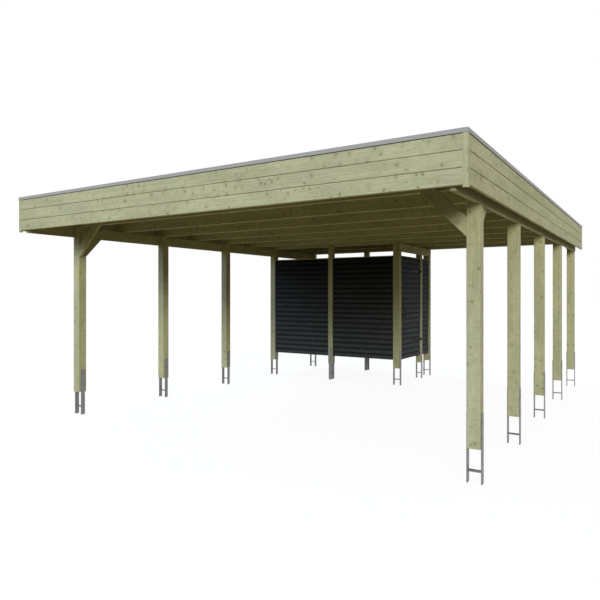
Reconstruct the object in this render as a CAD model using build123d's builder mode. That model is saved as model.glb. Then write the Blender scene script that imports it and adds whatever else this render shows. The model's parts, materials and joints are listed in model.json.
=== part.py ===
from build123d import *
import os

# Flat-roofed timber double carport with a closed store in its back left bay.
# Frame: X to the right, Y to the back, Z up, origin at the middle of the footprint on the ground.
# All lengths are in millimetres.

os.makedirs("parts", exist_ok=True)

# Roof plan and edge
roof_width = 5570.0
roof_length = 7080.0
trim_thickness = 3.0
trim_height = 43.0
trim_lap = 6.0
fascia_thickness = 20.0
fascia_board = 127.5
fascia_top_board = 160.0
groove_width = 10.0
groove_depth = 5.0
drip_gap = 7.0
drip_depth = 10.0
corner_strip = 40.0
corner_strip_drop = 16.0
deck_thickness = 20.0
curb_thickness = 30.0
curb_height = 138.0
membrane_thickness = 3.0
butt_gap = 1.0

# Posts, beams, rafters and knee braces
side_overhang = 105.0
front_overhang = 716.0
back_overhang = 129.0
post_size = 115.0
post_arris = 4.0
timber_arris = 3.0
posts_per_row = 5
post_bottom = 300.0
beam_thickness = 40.0
beam_height = 140.0
beam_seat = 2365.0
beam_end_gap = 15.0
rafter_thickness = 45.0
rafter_height = 145.0
rafters_per_bay = 2
side_brace_thickness = 45.0
brace_depth = 120.0
brace_reach = 415.0
brace_lap = 110.0

# Post anchors
strap_width = 60.0
strap_thickness = 8.0
strap_length = 600.0
crossbar_height = 100.0

# Store: posts, weatherboards, battens and caps
store_width = 2758.0
store_post_size = 95.0
door_width = 958.0
wall_bottom = 445.0
wall_recess = 5.0
wall_board_count = 20
wall_board_cover = 91.7
wall_board_thickness = 20.0
wall_board_face = 68.0
wall_board_step = 12.0
wall_board_slope = 9.0
batten_width = 40.0
batten_thickness = 28.0
batten_clearance = 2.0
cap_height = 15.0
strip_arris = 2.0

# Store door: leaf, frame, hinges and pull
door_free_gap = 8.0
door_hinge_gap = 5.0
ledge_height = 95.0
ledge_inset = 275.0
ledge_end_inset = 30.0
hinge_board_shares = (0.15, 0.85)
hinge_strap_length = 420.0
hinge_strap_height = 40.0
hinge_strap_thickness = 3.0
pin_radius = 6.0
pin_standout = 12.0
pin_clearance = 0.3
knuckle_radius = 9.0
lug_thickness = 8.0
lug_clearance = 1.0
hinge_plate_width = 60.0
hinge_plate_edge = 5.0
hinge_plate_margin = 6.0
pull_height = 1300.0
pull_inset = 90.0
pull_plate_width = 40.0
pull_plate_height = 230.0
pull_plate_thickness = 3.0
pull_grip_length = 160.0
pull_bar_radius = 7.0
pull_standout = 45.0
pull_bend_radius = 18.0

# Heights that follow from the stack of timbers, from the ground up
rafter_seat = beam_seat + beam_height
deck_bottom = rafter_seat + rafter_height
deck_top = deck_bottom + deck_thickness
curb_top = deck_top + curb_height
roof_top = curb_top + trim_thickness
fascia_bottom = curb_top - fascia_top_board - 2 * fascia_board
strip_bottom = fascia_bottom - corner_strip_drop
boards_top = wall_bottom + wall_board_count * wall_board_cover

# Plan lines that follow from the roof edge and the post rows
face_x = roof_width / 2 - trim_thickness
face_y = roof_length / 2 - trim_thickness
inner_x = face_x - fascia_thickness
inner_y = face_y - fascia_thickness
row_x = roof_width / 2 - side_overhang
post_x = row_x - post_size / 2
beam_x = row_x - beam_thickness / 2
first_post_y = -roof_length / 2 + front_overhang + post_size / 2
last_post_y = roof_length / 2 - back_overhang - post_size / 2
last_post = posts_per_row - 1
post_pitch = (last_post_y - first_post_y) / last_post
post_ys = [first_post_y + bay * post_pitch for bay in range(posts_per_row)]
cross_brace_thickness = (post_size - rafter_thickness) / 2

# Plan lines of the store, which fills the last bay of the left row
store_x = store_width - row_x
store_front_y = post_ys[last_post - 1] - post_size / 2
store_back_y = post_ys[last_post] + post_size / 2
store_left_inner_x = -row_x + post_size
corner_inner_x = store_x - post_size
corner_post_x = store_x - post_size / 2
middle_post_x = (store_left_inner_x + corner_inner_x) / 2
corner_post_back_y = store_front_y + post_size
door_post_front_y = corner_post_back_y + door_width
door_post_y = door_post_front_y + store_post_size / 2
back_post_front_y = store_back_y - post_size
board_face = -wall_recess
board_back = board_face - wall_board_thickness
gap_back = board_face - wall_board_step
batten_back = board_back - batten_thickness
batten_end_gap = strap_thickness + batten_clearance

FRONT, BACK, LEFT, RIGHT = (0, -1, 0), (0, 1, 0), (-1, 0, 0), (1, 0, 0)
UP = Vector(0, 0, 1)


def upright(origin, outward):
    """A standing work plane: x points outward, y points up, z runs along the wall."""
    return Plane(origin=origin, x_dir=outward, z_dir=Vector(outward).cross(UP))


def keep(piece, name):
    """Labels a finished piece and writes it."""
    piece.part.label = name
    export_step(piece.part, f"parts/{name}.step")


def square_post(x, y, size, notch_side=0):
    """A square post with eased arrises; a notch on one side takes the beam."""
    with BuildPart() as piece:
        with BuildSketch(Plane.XY.offset(post_bottom)) as section:
            with Locations((x, y)):
                Rectangle(size, size)
            chamfer(section.vertices(), length=post_arris)
        extrude(amount=rafter_seat - post_bottom)
        if notch_side:
            with BuildSketch(Plane.XY.offset(beam_seat)):
                with Locations((x + notch_side * (size - beam_thickness) / 2, y)):
                    Rectangle(beam_thickness, size)
            extrude(amount=beam_height, mode=Mode.SUBTRACT)
    return piece


def anchors(places):
    """H-shaped steel anchors: two straps on opposite post faces and a cross bar below the post."""
    with BuildPart() as piece:
        for x, y, size, outward in places:
            with BuildSketch(upright((x, y, 0), outward)):
                strap_x = (size + strap_thickness) / 2
                with Locations((-strap_x, strap_length / 2), (strap_x, strap_length / 2)):
                    Rectangle(strap_thickness, strap_length)
                with Locations((0, crossbar_height + strap_thickness / 2)):
                    Rectangle(size + strap_thickness, strap_thickness)
            extrude(amount=strap_width / 2, both=True)
    return piece


def lengthwise_beam(x, front_y, back_y):
    """A beam on edge, laid from front to back in the notches of its posts."""
    with BuildPart() as piece:
        with BuildSketch(Plane.XZ.offset(-back_y)) as section:
            with Locations((x, beam_seat + beam_height / 2)):
                Rectangle(beam_thickness, beam_height)
            chamfer(section.vertices(), length=timber_arris)
        extrude(amount=back_y - front_y)
    return piece


def knee_braces(side):
    """The two 45 degree braces of a front post: one lapped on the rafter, one on the beam's inner face."""
    brace_rise = rafter_seat - brace_reach
    brace_cut = brace_depth * 2**0.5
    inwards = LEFT if side > 0 else RIGHT
    post_front_y, post_back_y = post_ys[0] - post_size / 2, post_ys[0] + post_size / 2
    cross_middle_y = post_front_y + cross_brace_thickness / 2
    beside_beam_x = side * (row_x - beam_thickness - side_brace_thickness / 2)
    braces = [
        (upright((side * (row_x - post_size), cross_middle_y, 0), inwards), cross_brace_thickness, brace_lap),
        (upright((beside_beam_x, post_back_y, 0), BACK), side_brace_thickness, 0),
    ]
    with BuildPart() as piece:
        for plane, thickness, lap in braces:
            with BuildSketch(plane):
                with BuildLine():
                    Polyline(
                        (0, brace_rise),
                        (brace_reach + lap, rafter_seat + lap),
                        (brace_reach + lap - brace_cut, rafter_seat + lap),
                        (0, brace_rise + brace_cut),
                        close=True,
                    )
                make_face()
            extrude(amount=thickness / 2, both=True)
        for plane, thickness, lap in braces:
            slope = Axis((0, 0, 0), plane.x_dir + plane.y_dir)
            chamfer(piece.edges().filter_by(slope), length=timber_arris)
    return piece


def fascia(origin, outward, length, bottom):
    """Boards stacked to one fascia: a V groove at each joint, and a rebate behind the trim as a drip gap."""
    rebate = roof_top - trim_height - drip_gap
    joints = [curb_top - fascia_top_board - below * fascia_board for below in (1, 0)]
    outline = [
        (0, bottom),
        (fascia_thickness - timber_arris, bottom),
        (fascia_thickness, bottom + timber_arris),
    ]
    for joint in joints:
        if joint > bottom:
            outline += [
                (fascia_thickness, joint - groove_width / 2),
                (fascia_thickness - groove_depth, joint),
                (fascia_thickness, joint + groove_width / 2),
            ]
    outline += [
        (fascia_thickness, rebate),
        (fascia_thickness - drip_depth, rebate),
        (fascia_thickness - drip_depth, curb_top),
        (0, curb_top),
    ]
    with BuildPart() as piece:
        with BuildSketch(upright(origin, outward)):
            with BuildLine():
                Polyline(outline, close=True)
            make_face()
        extrude(amount=length)
    return piece


def weatherboards(start, outward, length):
    """A field of boards with slanted edges: one tooth and one sloping gap a board, carried along the wall."""
    outline = [(board_back, wall_bottom), (board_face, wall_bottom)]
    for number in range(wall_board_count):
        shoulder = wall_bottom + number * wall_board_cover + wall_board_face
        gap_top = wall_bottom + (number + 1) * wall_board_cover
        outline += [(board_face, shoulder), (gap_back, shoulder + wall_board_slope)]
        if number < wall_board_count - 1:
            outline += [(gap_back, gap_top + wall_board_slope), (board_face, gap_top)]
    outline += [(gap_back, boards_top), (board_back, boards_top)]
    with BuildPart() as piece:
        with BuildSketch(upright(start, outward)):
            with BuildLine():
                Polyline(outline, close=True)
            make_face()
        extrude(amount=length)
    return piece


def wall_strips(fields, sections):
    """Strips along or behind the given wall fields; a section is (inner, outer, low, high, along, reach)."""
    with BuildPart() as piece:
        for start, outward, length in fields:
            for inner, outer, low, high, along, reach in sections(length):
                with BuildSketch(upright(start, outward).offset(along)) as section:
                    with Locations(((inner + outer) / 2, (low + high) / 2)):
                        Rectangle(outer - inner, high - low)
                    chamfer(section.vertices(), length=strip_arris)
                extrude(amount=reach)
    return piece


def batten_sections(length):
    """Two upright battens behind a field, each clear of the anchor strap on its post."""
    ends = (batten_end_gap, length - batten_end_gap - batten_width)
    return [(batten_back, board_back, wall_bottom, boards_top, along, batten_width) for along in ends]


def cap_sections(length):
    """One cap strip on the boards and battens of a field."""
    return [(batten_back, board_face, boards_top, boards_top + cap_height, 0, length)]


# Ten posts in two rows, numbered from the front
for number, y in enumerate(post_ys, start=1):
    keep(square_post(-post_x, y, post_size, notch_side=-1), f"left_post_{number}")
    keep(square_post(post_x, y, post_size, notch_side=1), f"right_post_{number}")

# Five posts of the store
front_middle_y = store_front_y + store_post_size / 2
back_middle_y = store_back_y - store_post_size / 2
door_post_x = store_x - store_post_size / 2
back_post_y = store_back_y - post_size / 2
front_corner_y = store_front_y + post_size / 2
keep(square_post(corner_post_x, front_corner_y, post_size, 1), "store_front_corner_post")
keep(square_post(corner_post_x, back_post_y, post_size, 1), "store_back_corner_post")
keep(square_post(door_post_x, door_post_y, store_post_size, 1), "store_door_post")
keep(square_post(middle_post_x, front_middle_y, store_post_size), "store_front_middle_post")
keep(square_post(middle_post_x, back_middle_y, store_post_size), "store_back_middle_post")

# Steel anchors under all posts; the middle posts have theirs turned a quarter
keep(anchors([(-post_x, y, post_size, RIGHT) for y in post_ys]), "left_post_anchors")
keep(anchors([(post_x, y, post_size, RIGHT) for y in post_ys]), "right_post_anchors")
store_posts = [
    (corner_post_x, front_corner_y, post_size, RIGHT),
    (corner_post_x, back_post_y, post_size, RIGHT),
    (door_post_x, door_post_y, store_post_size, RIGHT),
    (middle_post_x, front_middle_y, store_post_size, BACK),
    (middle_post_x, back_middle_y, store_post_size, BACK),
]
keep(anchors(store_posts), "store_post_anchors")

# Beams in the post notches and rafters across them
beam_end_y = inner_y - beam_end_gap
keep(lengthwise_beam(-beam_x, -beam_end_y, beam_end_y), "left_beam")
keep(lengthwise_beam(beam_x, -beam_end_y, beam_end_y), "right_beam")
keep(lengthwise_beam(store_x - beam_thickness / 2, store_front_y, store_back_y), "store_beam")

rafter_pitch = post_pitch / rafters_per_bay
rafter_count = last_post * rafters_per_bay + 1
rafter_ys = [post_ys[0] + number * rafter_pitch for number in range(rafter_count)]
rim_y = inner_y - rafter_thickness / 2
with BuildPart() as rafters:
    with BuildSketch(Plane.YZ) as rafter_section:
        with Locations([(y, rafter_seat + rafter_height / 2) for y in [-rim_y, *rafter_ys, rim_y]]):
            Rectangle(rafter_thickness, rafter_height)
        chamfer(rafter_section.vertices(), length=timber_arris)
    extrude(amount=inner_x, both=True)
keep(rafters, "rafters")

keep(knee_braces(-1), "left_knee_braces")
keep(knee_braces(1), "right_knee_braces")

# Side fascias run through to the back and take the back one between them; that one has no lowest board
strip_in_x = face_x - corner_strip
strip_in_y = face_y - corner_strip
side_length = strip_in_y + face_y
back_fascia_bottom = fascia_bottom + fascia_board
keep(fascia((strip_in_x, -inner_y, 0), FRONT, 2 * strip_in_x, fascia_bottom), "front_fascia")
keep(fascia((-inner_x, inner_y, 0), BACK, 2 * inner_x, back_fascia_bottom), "back_fascia")
keep(fascia((-inner_x, -strip_in_y, 0), LEFT, side_length, fascia_bottom), "left_fascia")
keep(fascia((inner_x, face_y, 0), RIGHT, side_length, fascia_bottom), "right_fascia")

# Angle strips over the two front corners
with BuildPart() as corner_strips:
    with BuildSketch(Plane.XY.offset(strip_bottom)) as strip_section:
        for side_x in (-1, 1):
            corner_x = side_x * face_x
            strip_x, leg_x = side_x * corner_strip / 2, side_x * fascia_thickness / 2
            with Locations((corner_x - strip_x, -face_y + fascia_thickness / 2)):
                Rectangle(corner_strip, fascia_thickness)
            with Locations((corner_x - leg_x, -face_y + corner_strip / 2)):
                Rectangle(fascia_thickness, corner_strip)
        outer_sum = face_x + face_y - fascia_thickness
        outer_corners = [v for v in strip_section.vertices() if abs(v.X) + abs(v.Y) > outer_sum]
        chamfer(outer_corners, length=timber_arris)
    extrude(amount=curb_top - strip_bottom)
keep(corner_strips, "corner_strips")

# Roof deck, curb boards on its edges, and the membrane tray inside them
with BuildPart() as roof_deck:
    with BuildSketch(Plane.XY.offset(deck_bottom)):
        Rectangle(2 * inner_x, 2 * inner_y)
    extrude(amount=deck_thickness)
keep(roof_deck, "roof_deck")

curb_x = inner_x - curb_thickness
curb_y = inner_y - curb_thickness
with BuildPart() as roof_curb:
    with BuildSketch(Plane.XY.offset(deck_top)):
        with Locations((0, -inner_y + curb_thickness / 2), (0, inner_y - curb_thickness / 2)):
            Rectangle(2 * inner_x, curb_thickness)
        with Locations((-inner_x + curb_thickness / 2, 0), (inner_x - curb_thickness / 2, 0)):
            Rectangle(curb_thickness, 2 * (curb_y - butt_gap))
    extrude(amount=curb_height)
keep(roof_curb, "roof_curb")

with BuildPart() as roof_membrane:
    with BuildSketch(Plane.XY.offset(deck_top)):
        Rectangle(2 * curb_x, 2 * curb_y)
    extrude(amount=curb_height)
    tray_mouth = roof_membrane.faces().sort_by(Axis.Z)[-1]
    offset(amount=-membrane_thickness, openings=tray_mouth)
keep(roof_membrane, "roof_membrane")

# Metal edge trim: four mitred lengths of an angle over fascia, curb and membrane
trim_ledge = trim_thickness + fascia_thickness + curb_thickness + membrane_thickness + trim_lap


def mitred(edge, half_length, inset, reach):
    """Outline of one trim length at a mitre: from an inset line of the edge inwards by a reach."""
    return [
        (-half_length + inset + butt_gap, -edge + inset),
        (half_length - inset - butt_gap, -edge + inset),
        (half_length - reach - butt_gap, -edge + reach),
        (-half_length + reach + butt_gap, -edge + reach),
    ]


trim_sides = [
    (Plane.XY, roof_length / 2, roof_width / 2),
    (Plane.XY.rotated((0, 0, 180)), roof_length / 2, roof_width / 2),
    (Plane.XY.rotated((0, 0, 90)), roof_width / 2, roof_length / 2),
    (Plane.XY.rotated((0, 0, 270)), roof_width / 2, roof_length / 2),
]
with BuildPart() as roof_edge_trim:
    for plane, edge, half_length in trim_sides:
        with BuildSketch(plane.offset(curb_top)):
            with BuildLine():
                Polyline(mitred(edge, half_length, 0, trim_ledge), close=True)
            make_face()
        extrude(amount=trim_thickness)
        with BuildSketch(plane.offset(roof_top - trim_height)):
            with BuildLine():
                Polyline(mitred(edge, half_length, 0, trim_thickness), close=True)
            make_face()
        extrude(amount=trim_height)
keep(roof_edge_trim, "roof_edge_trim")

# Store walls: each field is (start, outward direction, length)
left_field = ((-row_x, corner_post_back_y, 0), LEFT, back_post_front_y - corner_post_back_y)
field_width = middle_post_x - store_post_size / 2 - store_left_inner_x
middle_right_x = middle_post_x + store_post_size / 2
front_left_field = ((store_left_inner_x + field_width, store_front_y, 0), FRONT, field_width)
front_right_field = ((corner_inner_x, store_front_y, 0), FRONT, field_width)
back_left_field = ((store_left_inner_x, store_back_y, 0), BACK, field_width)
back_right_field = ((middle_right_x, store_back_y, 0), BACK, field_width)
panel_length = back_post_front_y - door_post_front_y - store_post_size
side_field = ((store_x, back_post_front_y, 0), RIGHT, panel_length)
wall_fields = {
    "store_left_wall": left_field,
    "store_front_wall_left": front_left_field,
    "store_front_wall_right": front_right_field,
    "store_back_wall_left": back_left_field,
    "store_back_wall_right": back_right_field,
    "store_side_panel": side_field,
}
for name, field in wall_fields.items():
    keep(weatherboards(*field), name)
keep(wall_strips(wall_fields.values(), batten_sections), "store_wall_battens")
keep(wall_strips(wall_fields.values(), cap_sections), "store_wall_caps")

# Store door: a leaf of the same boards, hung on the door post and opening outwards
leaf_back_y = door_post_front_y - door_hinge_gap
leaf_front_y = corner_post_back_y + door_free_gap
leaf_width = leaf_back_y - leaf_front_y
leaf_field = ((store_x, leaf_back_y, 0), RIGHT, leaf_width)
keep(weatherboards(*leaf_field), "door_leaf")
keep(wall_strips([leaf_field], cap_sections), "door_cap")

# Three ledges and two raking braces behind the leaf, fused to one frame
ledge_heights = [
    wall_bottom + ledge_inset,
    (wall_bottom + boards_top) / 2,
    boards_top - ledge_inset,
]
ledge_length = leaf_width - 2 * ledge_end_inset
brace_foot = ledge_end_inset + ledge_height / 2
brace_head = leaf_width - brace_foot
with BuildPart() as door_frame:
    with BuildSketch(Plane(origin=(store_x + board_back, leaf_back_y, 0), x_dir=FRONT, z_dir=LEFT)):
        with Locations([(leaf_width / 2, z) for z in ledge_heights]):
            Rectangle(ledge_length, ledge_height)
        for low, high in zip(ledge_heights, ledge_heights[1:]):
            with BuildLine():
                Polyline(
                    (brace_foot - ledge_height / 2, low),
                    (brace_foot + ledge_height / 2, low),
                    (brace_head + ledge_height / 2, high),
                    (brace_head - ledge_height / 2, high),
                    close=True,
                )
            make_face()
    extrude(amount=batten_thickness)
keep(door_frame, "door_frame")

# Hinges: straps with a rolled eye on the leaf, pins in two lugs on the door post
pin_x = store_x + pin_standout
pin_y = door_post_front_y - door_hinge_gap / 2
strap_face_x = store_x + board_face
hinge_boards = [round(share * wall_board_count) for share in hinge_board_shares]
hinge_heights = [wall_bottom + number * wall_board_cover + wall_board_face / 2 for number in hinge_boards]
with BuildPart() as door_hinge_straps:
    for z in hinge_heights:
        with BuildSketch(Plane.XY.offset(z - hinge_strap_height / 2)):
            with Locations((strap_face_x + hinge_strap_thickness / 2, pin_y - hinge_strap_length / 2)):
                Rectangle(hinge_strap_thickness, hinge_strap_length)
            with Locations(((strap_face_x + pin_x) / 2, pin_y - knuckle_radius / 2)):
                Rectangle(pin_x - strap_face_x, knuckle_radius)
            with Locations((pin_x, pin_y)):
                Circle(knuckle_radius)
                Circle(pin_radius + pin_clearance, mode=Mode.SUBTRACT)
        extrude(amount=hinge_strap_height)
keep(door_hinge_straps, "door_hinge_straps")

lug_offset = hinge_strap_height / 2 + lug_clearance
pin_half = lug_offset + lug_thickness
plate_front_y = door_post_front_y + hinge_plate_edge
lug_back_y = plate_front_y + hinge_plate_width / 3
with BuildPart() as door_hinge_pins:
    for z in hinge_heights:
        plate_half = pin_half + hinge_plate_margin
        with BuildSketch(Plane.XY.offset(z - plate_half)):
            with Locations((store_x + hinge_strap_thickness / 2, plate_front_y + hinge_plate_width / 2)):
                Rectangle(hinge_strap_thickness, hinge_plate_width)
        extrude(amount=2 * plate_half)
        for lug_z in (z + lug_offset, z - pin_half):
            with BuildSketch(Plane.XY.offset(lug_z)):
                with Locations((pin_x, pin_y)):
                    Circle(knuckle_radius)
                lug_low_x = store_x + hinge_strap_thickness
                lug_high_x = pin_x + knuckle_radius
                with Locations(((lug_low_x + lug_high_x) / 2, (pin_y + lug_back_y) / 2)):
                    Rectangle(lug_high_x - lug_low_x, lug_back_y - pin_y)
            extrude(amount=lug_thickness)
        with BuildSketch(Plane.XY.offset(z - pin_half)):
            with Locations((pin_x, pin_y)):
                Circle(pin_radius)
        extrude(amount=2 * pin_half)
keep(door_hinge_pins, "door_hinge_pins")

# Pull handle: a plate across the board lips and a bent round bar swept onto it
pull_y = leaf_front_y + pull_inset
plate_face_x = strap_face_x + pull_plate_thickness
grip_x = strap_face_x + pull_standout
with BuildPart() as door_handle:
    with BuildSketch(Plane.YZ.offset(strap_face_x)):
        with Locations((pull_y, pull_height)):
            RectangleRounded(pull_plate_width, pull_plate_height, pull_plate_width / 4)
    extrude(amount=pull_plate_thickness)
    with BuildLine():
        pull_path = FilletPolyline(
            (plate_face_x, pull_y, pull_height - pull_grip_length / 2),
            (grip_x, pull_y, pull_height - pull_grip_length / 2),
            (grip_x, pull_y, pull_height + pull_grip_length / 2),
            (plate_face_x, pull_y, pull_height + pull_grip_length / 2),
            radius=pull_bend_radius,
        )
    with BuildSketch(Plane(pull_path @ 0, z_dir=pull_path % 0)):
        Circle(pull_bar_radius)
    sweep(path=pull_path)
keep(door_handle, "door_handle")
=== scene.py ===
# %% [markdown]
# A timber double carport with a small store, dressed for the camera. The frame (posts, beams, rafters,
# anchors, the store's door) is loaded as exact solids and never moved. This lesson adds what the solids
# leave out: boards with eased edges, bolts, screws, seams and every finish.

# %% Load the frame
import json
import math

import bpy
import numpy as np
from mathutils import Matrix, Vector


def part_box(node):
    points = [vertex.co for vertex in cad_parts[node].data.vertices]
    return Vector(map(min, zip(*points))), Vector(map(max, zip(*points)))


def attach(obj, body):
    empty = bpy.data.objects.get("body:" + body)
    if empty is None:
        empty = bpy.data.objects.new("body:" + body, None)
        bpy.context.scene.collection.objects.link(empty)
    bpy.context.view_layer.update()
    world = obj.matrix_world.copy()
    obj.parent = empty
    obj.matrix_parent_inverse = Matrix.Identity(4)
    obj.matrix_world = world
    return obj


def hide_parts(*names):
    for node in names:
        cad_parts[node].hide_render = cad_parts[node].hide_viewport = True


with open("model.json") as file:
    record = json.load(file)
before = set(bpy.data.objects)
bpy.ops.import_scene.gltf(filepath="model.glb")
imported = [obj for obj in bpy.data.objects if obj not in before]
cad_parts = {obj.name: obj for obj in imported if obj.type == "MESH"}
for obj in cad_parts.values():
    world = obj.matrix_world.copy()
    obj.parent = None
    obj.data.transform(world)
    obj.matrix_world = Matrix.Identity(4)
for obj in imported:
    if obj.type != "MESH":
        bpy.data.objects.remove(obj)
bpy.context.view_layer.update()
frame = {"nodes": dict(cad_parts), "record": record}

# %% [markdown]
# The camera stands at eye height in front of the right corner and looks level, so all posts stay upright.
# Its focal length and the pixel where its axis meets the picture were found by fitting the post edges. A
# shift of the lens does what cropping a photograph does, without tilting the camera.

# %% Camera
PICTURE = 600
FOCAL_PIXELS = 571.68
AXIS_PIXEL = (294.67, 294.775)
EYE = (3.9516, -7.6797, 1.598)
HEADING = math.radians(32.643)
SENSOR = 36.0

lens = bpy.data.cameras.new("eye")
lens.sensor_width = SENSOR
lens.lens = FOCAL_PIXELS / PICTURE * SENSOR
lens.shift_x = 0.5 - AXIS_PIXEL[0] / PICTURE
lens.shift_y = AXIS_PIXEL[1] / PICTURE - 0.5
camera = bpy.data.objects.new("eye", lens)
camera.location = EYE
camera.rotation_euler = (math.pi / 2, 0, HEADING)
bpy.context.collection.objects.link(camera)
bpy.context.scene.camera = camera
bpy.context.scene.view_settings.view_transform = "Standard"
print("lens", round(lens.lens, 2), "mm")

# %% [markdown]
# Node trees are written with a few small helpers. One adds a node, sets its properties and fills its
# sockets; the others add the kinds that come up often and hand back their result. A socket value that is
# itself a socket becomes a link, anything else a plain number or colour.

# %% Node helpers
def fill(tree, node, sockets):
    """Fills inputs of a node by name or number, with values or with outputs of other nodes."""
    for name, value in sockets.items():
        if isinstance(value, bpy.types.NodeSocket):
            tree.links.new(value, node.inputs[name])
        else:
            node.inputs[name].default_value = value


def add(tree, kind, sockets=None, **properties):
    """Adds a node, sets its properties and fills its sockets."""
    node = tree.nodes.new(kind)
    for name, value in properties.items():
        setattr(node, name, value)
    fill(tree, node, sockets or {})
    return node


def math_node(tree, operation, a, b=0.5, c=0.5):
    """A Math node with its result socket handed back."""
    return add(tree, "ShaderNodeMath", {0: a, 1: b, 2: c}, operation=operation).outputs[0]


def vector_node(tree, operation, sockets):
    """A Vector Math node with its result socket handed back."""
    return add(tree, "ShaderNodeVectorMath", sockets, operation=operation).outputs[0]


def mix_colour(tree, share, a, b):
    """A colour Mix node; share 0 gives a, share 1 gives b."""
    return add(tree, "ShaderNodeMix", {0: share, 6: a, 7: b}, data_type="RGBA").outputs[2]


def ramp_value(tree, value, low, high, out_low=0.0, out_high=1.0):
    """A smooth Map Range from low..high to out_low..out_high."""
    sockets = {0: value, 1: low, 2: high, 3: out_low, 4: out_high}
    return add(tree, "ShaderNodeMapRange", sockets, interpolation_type="SMOOTHSTEP").outputs[0]


# %% [markdown]
# A white studio. The dome gives soft light in two bands: a haze along the horizon, warm in front and on
# the right, and the sky above it, blue and brightest on the left. From below comes a dim warm glow, as
# from the ground. One broad lamp stands low in the front right, so that its light reaches in under the
# roof. The camera and mirror-like rays see floor and sky as plain white. Rays of bounced light pass the
# floor and meet the dome's lower half instead, which keeps the roof's underside dark.

# %% Sky
SKY = {"left": (1.30, 1.66, 2.35, 1.0), "front": (0.49, 0.50, 0.70, 1.0), "right": (0.24, 0.28, 0.40, 1.0)}
HAZE = {"left": (0.57, 0.65, 0.77, 1.0), "front": (0.50, 0.43, 0.12, 1.0), "right": (0.74, 0.66, 0.50, 1.0)}
LEFT_EDGE = (-0.60, -0.05)
RIGHT_EDGE = (0.30, 0.80)
HAZE_EDGE = (0.10, 0.50)
GROUND_GLOW = (0.36, 0.29, 0.14, 1.0)
HORIZON_BLUR = 0.06
WHITE = (1.0, 1.0, 1.0, 1.0)
BLACK = (0.0, 0.0, 0.0, 1.0)


def seen_directly(tree):
    """One for camera, mirror and glass rays, zero for rays that carry bounced light."""
    path = add(tree, "ShaderNodeLightPath").outputs
    clear = math_node(tree, "MAXIMUM", path["Is Glossy Ray"], path["Is Transmission Ray"])
    return math_node(tree, "MAXIMUM", path["Is Camera Ray"], clear)


world = bpy.data.worlds.new("soft_sky")
world.use_nodes = True
bpy.context.scene.world = world
dome = world.node_tree
dome.nodes.clear()
towards = add(dome, "ShaderNodeTexCoord").outputs["Generated"]
aim = add(dome, "ShaderNodeSeparateXYZ", {0: towards}).outputs
past_left, at_right = ramp_value(dome, aim["X"], *LEFT_EDGE), ramp_value(dome, aim["X"], *RIGHT_EDGE)


def around(band):
    """The colour of a band of the dome, mixed from its left, front and right."""
    return mix_colour(dome, at_right, mix_colour(dome, past_left, band["left"], band["front"]), band["right"])


upper = mix_colour(dome, ramp_value(dome, aim["Z"], *HAZE_EDGE), around(HAZE), around(SKY))
depth = math_node(dome, "MAXIMUM", math_node(dome, "MULTIPLY", aim["Z"], -1.0), 0.0)
lower = mix_colour(dome, depth, BLACK, GROUND_GLOW)
halves = mix_colour(dome, ramp_value(dome, aim["Z"], -HORIZON_BLUR, HORIZON_BLUR), lower, upper)
shown = mix_colour(dome, seen_directly(dome), halves, WHITE)
air = add(dome, "ShaderNodeBackground", {"Color": shown, "Strength": 1.0})
add(dome, "ShaderNodeOutputWorld", {"Surface": air.outputs[0]})
print("sky of", len(dome.nodes), "nodes")

# %% Lamp
LAMP_STRENGTH = 2.30
LAMP_COLOUR = (1.0, 0.97, 0.80)
LAMP_SPREAD = math.radians(18)
LAMP_TILT = (math.radians(72), 0.0, math.radians(35))
lamp = bpy.data.lights.new("window", "SUN")
lamp.energy = LAMP_STRENGTH
lamp.color = LAMP_COLOUR
lamp.angle = LAMP_SPREAD
lamp_object = bpy.data.objects.new("window", lamp)
lamp_object.rotation_euler = LAMP_TILT
lamp_object.visible_glossy = False
bpy.context.collection.objects.link(lamp_object)
print("lamp strength", LAMP_STRENGTH)

# %% Floor
FLOOR_HALF = 60.0
FLOOR_PAINT = (0.95, 0.95, 0.95, 1.0)
FLOOR_GLOW = 1.03
FLOOR_GLOW_SHARE = 0.90
floor_mesh = bpy.data.meshes.new("floor")
floor_corners = np.array([(-1, -1, 0), (1, -1, 0), (1, 1, 0), (-1, 1, 0)]) * FLOOR_HALF
floor_mesh.from_pydata(floor_corners.tolist(), [], [(0, 1, 2, 3)])
floor = bpy.data.objects.new("floor", floor_mesh)
floor.visible_diffuse = False
floor.visible_shadow = False
bpy.context.collection.objects.link(floor)

floor_paint = bpy.data.materials.new("floor")
floor_paint.use_nodes = True
tree = floor_paint.node_tree
tree.nodes.clear()
pale = add(tree, "ShaderNodeBsdfDiffuse", {"Color": FLOOR_PAINT})
glow = add(tree, "ShaderNodeEmission", {"Color": WHITE, "Strength": FLOOR_GLOW})
white_floor = add(tree, "ShaderNodeMixShader", {0: FLOOR_GLOW_SHARE, 1: pale.outputs[0], 2: glow.outputs[0]})
add(tree, "ShaderNodeOutputMaterial", {"Surface": white_floor.outputs[0]})
floor_paint.cycles.emission_sampling = "NONE"
floor_mesh.materials.append(floor_paint)
print("floor half width", FLOOR_HALF)

# %% [markdown]
# All timber shares one grain. Along the grain the noise is stretched, across it is fine, as the year
# rings of a sawn softwood log are. Knots are the cells of a 3-D Voronoi pattern: the surface cuts small
# balls, so they come out as round or oval spots, and the rings bend round them. A fine noise makes their
# edges uneven, and each knot has a strength of its own, so that some are dark and some hardly show.

# %% Group helpers
COLOUR, NUMBER, VECTOR = "NodeSocketColor", "NodeSocketFloat", "NodeSocketVector"


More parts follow.
